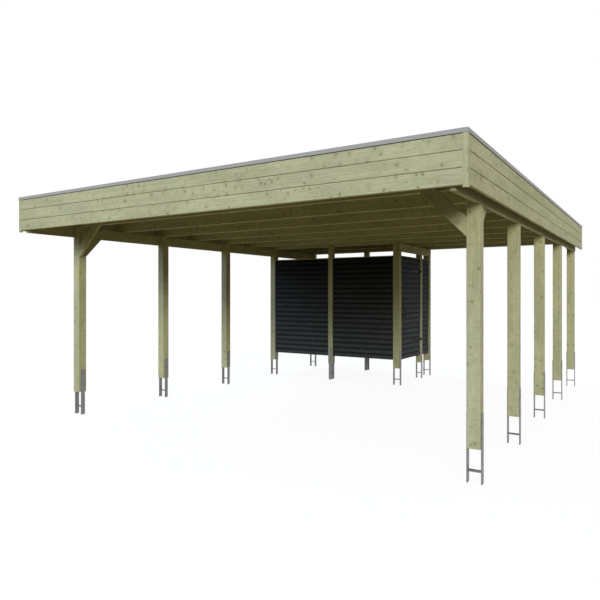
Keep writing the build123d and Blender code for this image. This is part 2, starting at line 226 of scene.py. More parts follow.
def new_group(name, inputs, outputs):
    """A shader node group; inputs and outputs map the names of its sockets to their types."""
    group = bpy.data.node_groups.new(name, "ShaderNodeTree")
    for way, sockets in (("INPUT", inputs), ("OUTPUT", outputs)):
        for label, kind in sockets.items():
            group.interface.new_socket(label, in_out=way, socket_type=kind)
    return group


def noise(tree, vector, scale, detail=3.0, roughness=0.55):
    """A noise value, mostly between 0.3 and 0.7; scale has one number for each axis, or one for all."""
    place = vector_node(tree, "MULTIPLY", {0: vector, 1: np.broadcast_to(scale, 3).tolist()})
    sockets = {"Vector": place, "Scale": 1.0, "Detail": detail, "Roughness": roughness}
    return add(tree, "ShaderNodeTexNoise", sockets).outputs["Fac"]


def weighed(tree, masks, shares):
    """The sum of masks, each times its share; both are tables with the same names."""
    total = 0.0
    for name, share in shares.items():
        total = math_node(tree, "MULTIPLY_ADD", masks[name], share, total)
    return total


# %% Knots
KNOT_CUT = 0.01
CORE_STRENGTH = dict(low=0.0, high=0.85, out_low=0.25)
RIM_STRENGTH = dict(low=0.1, high=1.0, out_low=0.30)
KNOT_RINGS = 95.0
KNOT_RING_SHARE = 0.16


def cut_balls(tree, vector, scale, core, rim, likely):
    """Spots where the surface cuts random balls: the core's mask and a wider soft rim's.
    A mask is strength * edge, and is zero in the cells that hold no ball; the core has fine rings."""
    stretched = vector_node(tree, "MULTIPLY", {0: vector, 1: scale})
    cells = add(tree, "ShaderNodeTexVoronoi", {"Vector": stretched, "Scale": 1.0})
    distance = cells.outputs["Distance"]
    numbers = add(tree, "ShaderNodeSeparateColor", {0: cells.outputs["Color"]}).outputs
    kept = ramp_value(tree, numbers[0], 1.0 - likely, 1.0 - likely + KNOT_CUT)
    rings = math_node(tree, "SINE", math_node(tree, "MULTIPLY", distance, KNOT_RINGS))
    rings = math_node(tree, "MULTIPLY_ADD", rings, KNOT_RING_SHARE, 1.0 - KNOT_RING_SHARE)
    core_mask = math_node(tree, "MULTIPLY", ramp_value(tree, distance, *core), rings)
    rim_mask = ramp_value(tree, distance, *rim)
    strengths = ramp_value(tree, numbers[1], **CORE_STRENGTH), ramp_value(tree, numbers[2], **RIM_STRENGTH)
    masks = [math_node(tree, "MULTIPLY", mask, own) for mask, own in zip((core_mask, rim_mask), strengths)]
    return [math_node(tree, "MULTIPLY", mask, kept) for mask in masks]


# %% Group: timber grain
TONE_SHIFT = (23.7, 7.3, 11.9)
ROUND_KNOTS = dict(scale=(13.0, 11.5, 11.5), core=(0.19, 0.11), rim=(0.56, 0.08), likely=0.90)
SPIKE_KNOTS = dict(scale=(15.0, 7.5, 7.5), core=(0.14, 0.08), rim=(0.38, 0.08), likely=0.12)
PIN_KNOTS = dict(scale=(19.0, 19.0, 19.0), core=(0.19, 0.10), rim=(0.34, 0.08), likely=0.62)
KNOT_WOBBLE = 0.016
WOBBLE_SCALE = 48.0
RING_SCALE = (0.55, 7.0, 7.0)
RING_COUNT = 115.0
RING_BEND = 0.085
LATE_WOOD = (-0.5, 1.0)
FIBRE_SCALE, FIBRE_SPAN = (7.0, 330.0, 330.0), (0.35, 0.70)
BAND_SCALE, BAND_SPAN = (0.8, 38.0, 38.0), (0.35, 0.68)
MOTTLE_SCALE, MOTTLE_SPAN = (22.0, 62.0, 62.0), (0.36, 0.66)
STREAK_SHARES = dict(rings=0.30, band=0.30, mottle=0.26, fibre=0.25, rim=0.58)
CLOUD_SCALE, CLOUD_LIGHTNESS = (1.6, 5.5, 5.5), (0.90, 1.07)
NOISE_SPAN = (0.3, 0.7)
PALE_ROUGHNESS, STREAK_ROUGHNESS = 0.52, 0.15
RELIEF_SHARES = dict(rings=0.35, fibre=0.45, knot=0.25)


def make_timber_group():
    """Grain runs along x of the incoming vector, in metres; tone shifts the pattern from board to board.
    Year rings are the height lines of a slow noise, so they arch as on a flat-sawn board."""
    colours = {"Pale": COLOUR, "Dark": COLOUR, "Knot": COLOUR}
    inputs = {"Along Grain": VECTOR, "Tone": NUMBER, **colours, "Knot Amount": NUMBER}
    group = new_group("timber_grain", inputs, {"Color": COLOUR, "Roughness": NUMBER, "Height": NUMBER})
    given = group.nodes.new("NodeGroupInput").outputs
    shift = vector_node(group, "SCALE", {0: TONE_SHIFT, "Scale": given["Tone"]})
    place = vector_node(group, "ADD", {0: given["Along Grain"], 1: shift})

    wobble = add(group, "ShaderNodeTexNoise", {"Vector": place, "Scale": WOBBLE_SCALE, "Detail": 3.0})
    wobble = vector_node(group, "SCALE", {0: wobble.outputs["Color"], "Scale": KNOT_WOBBLE})
    uneven = vector_node(group, "ADD", {0: place, 1: wobble})
    round_knot, round_rim = cut_balls(group, uneven, **ROUND_KNOTS)
    spike_knot, spike_rim = cut_balls(group, uneven, **SPIKE_KNOTS)
    pin_knot, _ = cut_balls(group, uneven, **PIN_KNOTS)
    knot = math_node(group, "MAXIMUM", math_node(group, "MAXIMUM", round_knot, spike_knot), pin_knot)
    rim = math_node(group, "MAXIMUM", round_rim, spike_rim)

    slow = noise(group, place, RING_SCALE, detail=1.5, roughness=0.4)
    phase = math_node(group, "MULTIPLY_ADD", rim, RING_BEND, slow)
    rings = math_node(group, "SINE", math_node(group, "MULTIPLY", phase, RING_COUNT))
    rings = ramp_value(group, rings, *LATE_WOOD)
    fibre = noise(group, place, FIBRE_SCALE, detail=2.0)
    band = noise(group, place, BAND_SCALE)
    mottle = noise(group, place, MOTTLE_SCALE, detail=2.0, roughness=0.6)
    masks = {
        "rings": rings,
        "band": ramp_value(group, band, *BAND_SPAN),
        "mottle": ramp_value(group, mottle, *MOTTLE_SPAN),
        "fibre": ramp_value(group, fibre, *FIBRE_SPAN),
        "rim": rim,
    }
    streak = weighed(group, masks, STREAK_SHARES)

    cloud = noise(group, place, CLOUD_SCALE, detail=4.0)
    lightness = ramp_value(group, cloud, *NOISE_SPAN, *CLOUD_LIGHTNESS)
    colour = mix_colour(group, streak, given["Pale"], given["Dark"])
    colour = vector_node(group, "SCALE", {0: colour, "Scale": lightness})
    knot_share = math_node(group, "MULTIPLY", knot, given["Knot Amount"])
    colour = mix_colour(group, knot_share, colour, given["Knot"])
    rough = math_node(group, "MULTIPLY_ADD", streak, STREAK_ROUGHNESS, PALE_ROUGHNESS)
    height = weighed(group, {"rings": rings, "fibre": fibre, "knot": knot}, RELIEF_SHARES)
    add(group, "NodeGroupOutput", {"Color": colour, "Roughness": rough, "Height": height})
    return group


timber_grain = make_timber_group()
print("group", timber_grain.name, "with", len(timber_grain.nodes), "nodes")

# %% [markdown]
# Treated softwood comes in several materials that differ only in the direction of their grain. A Mapping
# node turns the object's own coordinates so that the grain always runs along the timber. A face that
# looks along the grain is a sawn end, which soaks up more and is darker. The store's stained boards get
# painted light and shade: a painted highlight on the crown of each board, painted shade in the gaps, and
# painted shade that darkens them towards the top, under the roof.

# %% Timber shader
GRAIN_RELIEF = 0.0008
TIMBER_GLOSS = 0.03
END_GRAIN_TURN = (0.80, 0.95)
END_GRAIN_SHARE = 0.62
# Painted shade on the stained boards: darker towards the top, under the roof, between these heights.
ROOF_SHADE_HEIGHTS = (1.05, 2.40)
ROOF_SHADE_SHARES = (1.32, 0.28)
# Painted highlight on the crown of each board and painted shade in its gaps, by how far out a point lies.
CROWN_DEPTHS = (0.45, 1.0)
CROWN_LIGHT_AND_GAP_SHADE = (0.48, 1.30)


def finish(name, build, *choices, **values):
    """A material whose Principled shader takes the sockets that a build function hands back."""
    material = bpy.data.materials.new(name)
    material.use_nodes = True
    tree = material.node_tree
    place = add(tree, "ShaderNodeTexCoord").outputs["Object"]
    fill(tree, tree.nodes["Principled BSDF"], build(tree, place, *choices, **values))
    return material


def relief(tree, height, distance, strength=1.0):
    """The normal of a Bump node, for a height whose unit stands for a distance in metres."""
    sockets = {"Distance": distance, "Strength": strength, "Height": height}
    return add(tree, "ShaderNodeBump", sockets).outputs[0]


def timber(tree, place, turn, stock, boards=False, clad=False):
    """Softwood of a stock with its grain turned along the timber. Boards read their own tone, and cladding
    also its crown: colour = grain * end share * painted roof shade * painted crown highlight and gap shade."""
    sockets = {"Along Grain": add(tree, "ShaderNodeMapping", {"Vector": place, "Rotation": turn}).outputs[0]}
    if boards:
        sockets["Tone"] = add(tree, "ShaderNodeAttribute", attribute_name="tone").outputs["Fac"]
    grain = add(tree, "ShaderNodeGroup", {**sockets, **stock}, node_tree=timber_grain).outputs
    facing = {"Vector": add(tree, "ShaderNodeTexCoord").outputs["Normal"], "Rotation": turn}
    facing = add(tree, "ShaderNodeMapping", facing, vector_type="VECTOR").outputs[0]
    along = math_node(tree, "ABSOLUTE", add(tree, "ShaderNodeSeparateXYZ", {0: facing}).outputs["X"])
    sawn_end = ramp_value(tree, along, *END_GRAIN_TURN, 1.0, END_GRAIN_SHARE)
    colour = vector_node(tree, "SCALE", {0: grain["Color"], "Scale": sawn_end})
    if clad:
        height = add(tree, "ShaderNodeSeparateXYZ", {0: place}).outputs["Z"]
        crown = add(tree, "ShaderNodeAttribute", attribute_name="crown").outputs["Fac"]
        # Painted shade: the boards get darker towards the top, under the roof.
        roof_shade = ramp_value(tree, height, *ROOF_SHADE_HEIGHTS, *ROOF_SHADE_SHARES)
        # Painted highlight on each board's crown and painted shade in the gaps.
        crown_light = ramp_value(tree, crown, *CROWN_DEPTHS, *CROWN_LIGHT_AND_GAP_SHADE)
        share = math_node(tree, "MULTIPLY", roof_shade, crown_light)
        colour = vector_node(tree, "SCALE", {0: colour, "Scale": share})
    return {
        "Base Color": colour,
        "Roughness": grain["Roughness"],
        "Normal": relief(tree, grain["Height"], GRAIN_RELIEF),
        "Specular IOR Level": TIMBER_GLOSS,
    }


# %% Timber materials
QUARTER_TURN, EIGHTH_TURN = math.pi / 2, math.pi / 4
ALONG_X = (0.0, 0.0, 0.0)
ALONG_Y = (0.0, 0.0, -QUARTER_TURN)
ALONG_Z = (0.0, QUARTER_TURN, 0.0)
RISING_RIGHT = (0.0, EIGHTH_TURN, 0.0)
RISING_LEFT = (0.0, 3 * EIGHTH_TURN, 0.0)
RISING_BACK = (-EIGHTH_TURN, 0.0, -QUARTER_TURN)
TREATED = {
    "Pale": (0.492, 0.511, 0.360, 1.0),
    "Dark": (0.381, 0.395, 0.254, 1.0),
    "Knot": (0.215, 0.212, 0.128, 1.0),
    "Knot Amount": 0.92,
}
STAINED = {
    "Pale": (0.042, 0.048, 0.056, 1.0),
    "Dark": (0.028, 0.033, 0.039, 1.0),
    "Knot": (0.018, 0.019, 0.020, 1.0),
    "Knot Amount": 0.4,
}
post_timber = finish("post_timber", timber, ALONG_Z, TREATED)
beam_timber = finish("beam_timber", timber, ALONG_Y, TREATED)
rafter_timber = finish("rafter_timber", timber, ALONG_X, TREATED)
brace_timber_left = finish("brace_timber_left", timber, RISING_RIGHT, TREATED)
brace_timber_right = finish("brace_timber_right", timber, RISING_LEFT, TREATED)
brace_timber_side = finish("brace_timber_side", timber, RISING_BACK, TREATED)
fascia_timber_x = finish("fascia_timber_x", timber, ALONG_X, TREATED, boards=True)
fascia_timber_y = finish("fascia_timber_y", timber, ALONG_Y, TREATED, boards=True)
deck_timber = finish("deck_timber", timber, ALONG_Y, TREATED, boards=True)
# The stained cladding carries painted shade towards the top, a painted highlight on each crown and painted
# shade in the gaps.
stained_x = finish("stained_x", timber, ALONG_X, STAINED, boards=True, clad=True)
stained_y = finish("stained_y", timber, ALONG_Y, STAINED, boards=True, clad=True)
print("materials so far:", len(bpy.data.materials))

# %% [markdown]
# The anchors are hot-dip galvanised, a dull grey with the crystal pattern of cooled zinc. The roof edge
# is a plain light metal angle. Hinges and the pull are coated black, and small fasteners are plain dull
# metal. The roofing is a black sheet with a little dust. All take their colour and roughness from clouds
# of noise.

# %% Metal shaders
CRYSTAL_SCALE, ZINC_CLOUD_SCALE = 90.0, 14.0
CRYSTAL_SHARES = dict(cloud=0.60, tint=0.45)
ROLLED_SCALE, SHEEN_SCALE = (3.0, 3.0, 160.0), 2.0
ROLLED_SHARES = dict(cloud=0.5, streak=0.5)
PEEL_SCALE, PEEL_RELIEF, PEEL_STRENGTH = 700.0, 0.0002, 0.6
COAT_CLOUD_SCALE = 20.0


def clouded(tree, cloud, dark, pale, roughness, share=None, span=NOISE_SPAN):
    """Colour from dark to pale by a share, or by the cloud itself; roughness over a range by the cloud."""
    colour = mix_colour(tree, cloud if share is None else share, (*dark, 1.0), (*pale, 1.0))
    return {"Base Color": colour, "Roughness": ramp_value(tree, cloud, *span, *roughness)}


def galvanised(tree, place, dark, pale, roughness, metallic):
    """Zinc crystals: Voronoi cells of slightly different grey over a cloudy roughness."""
    cells = add(tree, "ShaderNodeTexVoronoi", {"Vector": place, "Scale": CRYSTAL_SCALE})
    tint = add(tree, "ShaderNodeSeparateColor", {0: cells.outputs["Color"]}).outputs[0]
    cloud = noise(tree, place, ZINC_CLOUD_SCALE, detail=4.0)
    share = weighed(tree, {"cloud": cloud, "tint": tint}, CRYSTAL_SHARES)
    return {**clouded(tree, cloud, dark, pale, roughness, share), "Metallic": metallic}


def edge_metal(tree, place, dark, pale, roughness, metallic, gloss):
    """Rolled light metal: faint long streaks and a cloudy sheen."""
    streak = noise(tree, place, ROLLED_SCALE)
    cloud = noise(tree, place, SHEEN_SCALE, detail=4.0)
    share = weighed(tree, {"cloud": cloud, "streak": streak}, ROLLED_SHARES)
    sockets = clouded(tree, cloud, dark, pale, roughness, share)
    return {**sockets, "Metallic": metallic, "Specular IOR Level": gloss}


def black_coat(tree, place, dark, pale, roughness, gloss):
    """Powder coat: near black and dull, with a fine orange-peel relief."""
    peel = relief(tree, noise(tree, place, PEEL_SCALE, detail=1.0), PEEL_RELIEF, PEEL_STRENGTH)
    sockets = clouded(tree, noise(tree, place, COAT_CLOUD_SCALE), dark, pale, roughness)
    return {**sockets, "Normal": peel, "Specular IOR Level": gloss}


def small_metal(tree, place, scale, dark, pale, roughness, metallic):
    """Plain dull metal of bolts and screws: one cloud for the colour and the roughness."""
    return {**clouded(tree, noise(tree, place, scale), dark, pale, roughness), "Metallic": metallic}


# %% Roofing shaders
PRESSED_SCALE = (9.0, 120.0, 1.0)
SPECK_SCALE, SPECK_RELIEF, SPECK_STRENGTH = 260.0, 0.0006, 0.5
DUST_SCALE, DUST_SPAN, DUST_SHARE = 1.3, (0.40, 0.72), 0.34
SHEET_SPAN = (0.35, 0.7)
PUDDLE_SCALE, PUDDLE_SHORE = 0.75, 0.5
MARK_EDGE, MARK_SHARE = (0.030, 0.004), 0.08


def roofing(tree, place, dark, pale, roughness):
    """Black sheet with fine pale dust that gathers in faint patches and in the drying marks of puddles."""
    dust = noise(tree, place, DUST_SCALE, detail=8.0, roughness=0.66)
    speck = relief(tree, noise(tree, place, SPECK_SCALE, detail=2.0), SPECK_RELIEF, SPECK_STRENGTH)
    puddle = noise(tree, place, PUDDLE_SCALE, detail=2.0)
    shore = math_node(tree, "ABSOLUTE", math_node(tree, "SUBTRACT", puddle, PUDDLE_SHORE))
    mark = ramp_value(tree, shore, *MARK_EDGE, 0.0, MARK_SHARE)
    share = math_node(tree, "MULTIPLY_ADD", ramp_value(tree, dust, *DUST_SPAN), DUST_SHARE, mark)
    sockets = clouded(tree, dust, dark, pale, roughness, share, SHEET_SPAN)
    return {**sockets, "Normal": speck}


def welded_lap(tree, place, dark, pale, roughness):
    """The same sheet where it is welded: a little paler and smoother, with the roller's pressing marks."""
    return clouded(tree, noise(tree, place, PRESSED_SCALE, detail=2.0), dark, pale, roughness)


# %% Metal and roofing materials
anchor_steel = finish(
    "anchor_steel", galvanised,
    dark=(0.180, 0.185, 0.190), pale=(0.290, 0.296, 0.305), roughness=(0.42, 0.62), metallic=0.50,
)
trim_metal = finish(
    "trim_metal", edge_metal,
    dark=(0.335, 0.345, 0.364), pale=(0.388, 0.398, 0.420), roughness=(0.50, 0.62), metallic=0.05, gloss=0.10,
)
black_steel = finish(
    "black_steel", black_coat,
    dark=(0.016, 0.017, 0.018), pale=(0.030, 0.031, 0.033), roughness=(0.55, 0.68), gloss=0.08,
)
bolt_zinc = finish(
    "bolt_zinc", small_metal, scale=60.0,
    dark=(0.20, 0.205, 0.21), pale=(0.29, 0.295, 0.30), roughness=(0.42, 0.58), metallic=0.25,
)
roof_sheet = finish(
    "roof_sheet", roofing,
    dark=(0.030, 0.031, 0.033), pale=(0.110, 0.109, 0.103), roughness=(0.62, 0.85),
)
roof_lap = finish(
    "roof_lap", welded_lap,
    dark=(0.048, 0.049, 0.051), pale=(0.075, 0.075, 0.075), roughness=(0.48, 0.66),
)
screw_steel = finish(
    "screw_steel", small_metal, scale=90.0,
    dark=(0.29, 0.30, 0.20), pale=(0.41, 0.42, 0.29), roughness=(0.50, 0.65), metallic=0.2,
)
bolt_dull = finish(
    "bolt_dull", small_metal, scale=60.0,
    dark=(0.17, 0.17, 0.12), pale=(0.26, 0.26, 0.19), roughness=(0.55, 0.70), metallic=0.2,
)
print("materials in all:", len(bpy.data.materials))

# %% [markdown]
# The solids that stay in the picture take their finish by name: a table lists words from the names, the
# most telling ones first, because "hinge_pins" also holds "hinge". What no word fits is upright timber.

# %% Give the solids their finish
FINISH_WORDS = [
    (anchor_steel, ["anchors", "hinge_pins"]),
    (black_steel, ["hinge", "handle"]),
    (trim_metal, ["edge_trim"]),
    (roof_sheet, ["membrane"]),
    (rafter_timber, ["rafters", "cap"]),
    (beam_timber, ["beam", "curb"]),
    (fascia_timber_x, ["fascia"]),
    (deck_timber, ["deck"]),
    (stained_x, ["wall_left", "wall_right"]),
    (stained_y, ["left_wall", "side_panel", "leaf"]),
]


def finish_for(node):
    """The first finish with a word that is in the node's name, or post timber."""
    fits = (paint for paint, words in FINISH_WORDS if any(word in node for word in words))
    return next(fits, post_timber)


for name, solid in frame["nodes"].items():
    solid.data.materials.clear()
    solid.data.materials.append(finish_for(name))
print("finished solids:", len(frame["nodes"]))

# %% [markdown]
# Boards, bars and bolts are made by two shape functions. One carries a closed outline along a straight
# line and makes many bars at once; the other turns a profile round an axis and makes many turned bodies
# at once. Both work on whole arrays, and both give closed bodies whose faces point outwards. Two more
# functions join shapes to one named piece and find where a row of boards starts.

# %% Bars along a line
RIGHT, BACK, UP = np.eye(3)
LEFT, FRONT = -RIGHT, -BACK


def carried(outline, starts, outward, length):
    """Point = start + outward * x + up * y, and the same again a length further along outward x up.
    The outline runs counterclockwise; quads join its two copies and flat ends close the bar."""
    outline, starts = np.asarray(outline, float), np.atleast_2d(starts)
    bars, corners = len(starts), len(outline)
    near = starts[:, None, :] + outline[:, :1] * outward + outline[:, 1:] * UP
    far = near + length * np.cross(outward, UP)
    points = np.stack([near, far], axis=1).reshape(-1, 3)
    first = np.arange(bars)[:, None] * 2 * corners
    here = np.arange(corners)
    after = (here + 1) % corners
    last = first + corners
    sides = np.stack([first + here, first + after, last + after, last + here], axis=-1)
    return points, [sides.reshape(-1, 4), first + here[::-1], last + here]


# %% Bodies round an axis
NEARLY_UPRIGHT = 0.9


def turned(profile, sides, centres, axes):
    """Point = centre + axis * height + radius * (cos a * u + sin a * v), with u and v square to the axis.
    The profile lists (radius, height) from the foot up; quads join the rings and flat ends close them."""
    profile, centres = np.asarray(profile, float), np.atleast_2d(centres)
    axes = np.broadcast_to(axes, centres.shape)
    aside = np.where(np.abs(axes[:, 2:]) < NEARLY_UPRIGHT, UP, RIGHT)
    u = np.cross(aside, axes)
    u /= np.linalg.norm(u, axis=1, keepdims=True)
    v = np.cross(axes, u)
    angles = 2 * np.pi * np.arange(sides) / sides
    ring = np.cos(angles)[:, None] * u[:, None] + np.sin(angles)[:, None] * v[:, None]
    radius, height = profile[:, 0][:, None, None], profile[:, 1][:, None, None]
    points = centres[:, None, None] + height * axes[:, None, None] + radius * ring[:, None]
    rings = len(profile)
    first = (np.arange(len(centres)) * rings * sides)[:, None, None]
    level = first + np.arange(rings - 1)[:, None] * sides
    here, after = np.arange(sides), (np.arange(sides) + 1) % sides
    quads = np.stack([level + here, level + after, level + sides + after, level + sides + here], axis=-1)
    foot, head = first[:, 0] + here[::-1], first[:, 0] + (rings - 1) * sides + here
    return points.reshape(-1, 3), [quads.reshape(-1, 4), foot, head]


# %% Pieces and corners
SHARP_EDGE = math.radians(32)


def put(name, shapes, material, body="carport", tones=None, replaced=()):
    """Joins shapes to one piece at the origin, paints it, and lets it ride on a body."""
    starts = np.cumsum([0] + [len(points) for points, _ in shapes])
    points = np.concatenate([points for points, _ in shapes])
    blocks = [block + start for (_, blocks), start in zip(shapes, starts) for block in blocks]
    faces = [row for block in blocks for row in block.tolist()]
    mesh = bpy.data.meshes.new(name)
    mesh.from_pydata(points.tolist(), [], faces)
    mesh.materials.append(material)
    mesh.shade_smooth()
    mesh.set_sharp_from_angle(angle=SHARP_EDGE)
    if tones is not None:
        values = np.repeat(np.asarray(tones, float), len(points) // len(tones))
        mesh.attributes.new("tone", "FLOAT", "POINT").data.foreach_set("value", values)
    piece = bpy.data.objects.new(name, mesh)
    bpy.context.collection.objects.link(piece)
    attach(piece, body)
    if replaced:
        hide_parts(*replaced)
    print(name, len(points), "points", len(faces), "faces")
    return piece


def corner_of(node, outward):
    """The corner of a node's box where a bar facing outward starts, the bar's length and its height."""
    low, high = map(np.array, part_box(node))
    run = np.cross(outward, UP)
    corner = np.where(outward + run > 0, low, high)
    corner[2] = low[2]
    return corner, float(abs((high - low) @ run)), high[2] - low[2]


# %% [markdown]
# The fascia is three planed boards at the front and the sides, and two at the back. Each has eased edges
# and a slot behind its lower edge, so that a fine dark line shows at every joint. The top board steps
# back behind the metal trim, which leaves a drip gap. One outline per board is carried along the whole
# side; each board has its own tone, which shifts the grain, so that no two boards look cut from the same
# place.

# %% Fascia boards
FASCIA_THICKNESS = 0.020
FASCIA_COVER = 0.1275
FASCIA_EASE = 0.0042
BOARD_GAP = 0.0008
SLOT_DEPTH = 0.009
SLOT_GAP = 0.0030
DRIP_DEPTH = 0.010
DRIP_EASE = 0.0015
TRIM_COVER = 0.040
BOARD_SEED = 7
chance = np.random.default_rng(BOARD_SEED)


def board_outline(height, rebate=None):
    """A board on edge, face to the right, its front edges cut off at 45 degrees and a slot in its foot.
    A rebate is the height above which the face steps back, behind the metal trim."""
    face, slot, step = FASCIA_THICKNESS, FASCIA_THICKNESS - SLOT_DEPTH, FASCIA_THICKNESS - DRIP_DEPTH
    foot = [(0, BOARD_GAP), (slot, BOARD_GAP), (slot, SLOT_GAP), (face - FASCIA_EASE, SLOT_GAP)]
    foot.append((face, SLOT_GAP + FASCIA_EASE))
    if rebate is None:
        return [*foot, (face, height - FASCIA_EASE), (face - FASCIA_EASE, height), (0, height)]
    head = [(face, rebate - DRIP_EASE), (face - DRIP_EASE, rebate), (step, rebate)]
    return [*foot, *head, (step, height), (0, height)]


FASCIAS = [
    ("front_fascia", FRONT, fascia_timber_x),
    ("back_fascia", BACK, fascia_timber_x),
    ("left_fascia", LEFT, fascia_timber_y),
    ("right_fascia", RIGHT, fascia_timber_y),
]
for node, outward, paint in FASCIAS:
    corner, length, height = corner_of(node, outward)
    lower_count = int(height / FASCIA_COVER) - 1
    starts = corner + np.arange(lower_count + 1)[:, None] * FASCIA_COVER * UP
    top_height = height - lower_count * FASCIA_COVER
    outlines = board_outline(FASCIA_COVER), board_outline(top_height, top_height - TRIM_COVER)
    lower = carried(outlines[0], starts[:-1], outward, length)
    top = carried(outlines[1], starts[-1], outward, length)
    points = [2 * len(outlines[0])] * lower_count + [2 * len(outlines[1])]
    tones = np.repeat(chance.random(lower_count + 1), points)
    put(node + "_boards", [lower, top], paint, tones=tones, replaced=[node])

# %% [markdown]
# A folded metal angle closes the roof edge: a short flange hangs over the top board and a ledge lies on
# the curb. It is one closed ring: every corner of the roof carries the same outline, and quads join the
# four copies, which makes the mitres by itself.

# %% Roof edge trim
TRIM_FLANGE = 0.036
TRIM_SHEET = 0.003
TRIM_LEDGE = 0.062
TRIM_BEND = 0.0012


def ring(outline, half_x, half_y, level):
    """Point = (sign x * (half x + o), sign y * (half y + o), level + z) for an outline of outward o and z."""
    outline = np.asarray(outline, float)
    signs = np.array([(1, -1), (-1, -1), (-1, 1), (1, 1)])
    flat = signs[:, None] * (np.array((half_x, half_y)) + outline[:, :1])
    heights = np.broadcast_to(level + outline[:, 1], flat.shape[:2])[..., None]
    points = np.concatenate([flat, heights], axis=-1).reshape(-1, 3)
    first = (np.arange(len(signs)) * len(outline))[:, None]
    following = (first + len(outline)) % len(points)
    here = np.arange(len(outline))
    after = (here + 1) % len(outline)
    quads = np.stack([first + here, first + after, following + after, following + here], axis=-1)
    return points, [quads.reshape(-1, 4)]


trim_outline = [
    (-TRIM_SHEET, -TRIM_FLANGE),
    (-TRIM_BEND, -TRIM_FLANGE),
    (0, TRIM_BEND - TRIM_FLANGE),
    (0, -TRIM_SHEET),
    (-TRIM_BEND, -TRIM_BEND),
    (-TRIM_SHEET, 0),
    (-TRIM_LEDGE, 0),
    (-TRIM_LEDGE, -TRIM_SHEET),
    (-TRIM_SHEET, -TRIM_SHEET),
]
trim_top = np.array(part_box("roof_edge_trim")[1])
put("edge_trim", [ring(trim_outline, *trim_top)], trim_metal, replaced=["roof_edge_trim"])

# %% [markdown]
# The roofing sheet comes in lengths that lap each other. The laps show from above as low welded bands
# across the roof, so thin bars with slanted edges are carried from curb to curb.

# %% Roofing seams
SEAM_WIDTH = 0.060
SEAM_HEIGHT = 0.0025
SEAM_SLANT = 0.003
SEAM_PITCH = 1.05
SHEET_THICKNESS = 0.003
sheet_low, sheet_high = map(np.array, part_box("roof_membrane"))
seam_outline = [(0, 0), (SEAM_WIDTH, 0), (SEAM_WIDTH - SEAM_SLANT, SEAM_HEIGHT), (SEAM_SLANT, SEAM_HEIGHT)]
seam_count = round((sheet_high[1] - sheet_low[1]) / SEAM_PITCH)
seam_starts = np.repeat((sheet_low + SHEET_THICKNESS)[None], seam_count - 1, axis=0)
seam_starts[:, 1] = np.linspace(sheet_low[1], sheet_high[1], seam_count + 1)[1:-1] - SEAM_WIDTH / 2
seam_length = sheet_high[0] - sheet_low[0] - 2 * SHEET_THICKNESS
put("roof_seams", [carried(seam_outline, seam_starts, BACK, seam_length)], roof_lap)

# %% [markdown]
# From below, the roof shows its deck: tongue-and-groove boards from front to back across the rafters.
# Only their lower edges are eased; the joints above are closed and lie under the roofing sheet.

# %% Deck boards
DECK_COVER = 0.121
DECK_EASE = 0.003
corner, length, height = corner_of("roof_deck", LEFT)
deck_low, deck_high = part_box("roof_deck")
deck_width = deck_high.x - deck_low.x
deck_count = round(deck_width / DECK_COVER)
cover = deck_width / deck_count
deck_outline = [(DECK_EASE, 0), (cover - DECK_EASE, 0), (cover, DECK_EASE)]
deck_outline += [(cover, height), (0, height), (0, DECK_EASE)]
starts = corner + np.arange(deck_count)[:, None] * cover * LEFT
deck = carried(deck_outline, starts, LEFT, length)
deck_tones = chance.random(deck_count)
put("deck_boards", [deck], deck_timber, tones=deck_tones, replaced=["roof_deck"])

# %% [markdown]
# The store is clad with dark boards whose edges are slanted, so that a sloping gap sheds the rain and
# draws a sharp shadow line above each board. The face is slightly crowned, and the corners of the outline
# are rounded with short curves. Every point keeps how far out it lies, from which the material paints a
# highlight on the crown and paints shade in the gaps.

# %% Outline of a wall board
WALL_BOARD_FACE = 0.068
WALL_BOARD_STEP = 0.012
WALL_BOARD_SLOPE = 0.009
WALL_BOARD_THICKNESS = 0.020
WALL_BOARD_EASE = 0.004
WALL_BOARD_CROWN = 0.007
CROWN_SHARES = (0.34, 0.66)
CROWN_CURVE = 0.010
GAP_CURVE = 0.001
BACK_CURVE = 0.0003
LONGEST_REACH = 0.45


def eased(corners, reach, steps=3):
    """Rounds every corner: a quadratic curve from a reach before it to a reach after it."""
    ways = np.stack([np.roll(corners, 1, axis=0), np.roll(corners, -1, axis=0)]) - corners
    spans = np.linalg.norm(ways, axis=-1, keepdims=True)
    reach = np.minimum(reach[:, None], spans.min(axis=0) * LONGEST_REACH)
    start, end = corners + ways / spans * reach
    t = np.linspace(0, 1, steps)[None, :, None]
    curve = (1 - t) ** 2 * start[:, None] + 2 * t * (1 - t) * corners[:, None] + t**2 * end[:, None]
    return curve.reshape(-1, 2)


def slanted_board(top):
    """Outline of one wall board, face to the right: foot slope, face, head slope and the tongue above it."""
    back_of_gap = WALL_BOARD_THICKNESS - WALL_BOARD_STEP
    edge = WALL_BOARD_THICKNESS - WALL_BOARD_CROWN
    corners = [
        (0, WALL_BOARD_SLOPE, BACK_CURVE),
        (back_of_gap, WALL_BOARD_SLOPE, GAP_CURVE),
        (edge, 0, WALL_BOARD_EASE),
        *((WALL_BOARD_THICKNESS, WALL_BOARD_FACE * share, CROWN_CURVE) for share in CROWN_SHARES),
        (edge, WALL_BOARD_FACE, WALL_BOARD_EASE),
        (back_of_gap, WALL_BOARD_FACE + WALL_BOARD_SLOPE, GAP_CURVE),
        (back_of_gap, top, BACK_CURVE),
        (0, top, BACK_CURVE),
    ]
    corners = np.array(corners)
    return eased(corners[:, :2], corners[:, 2])


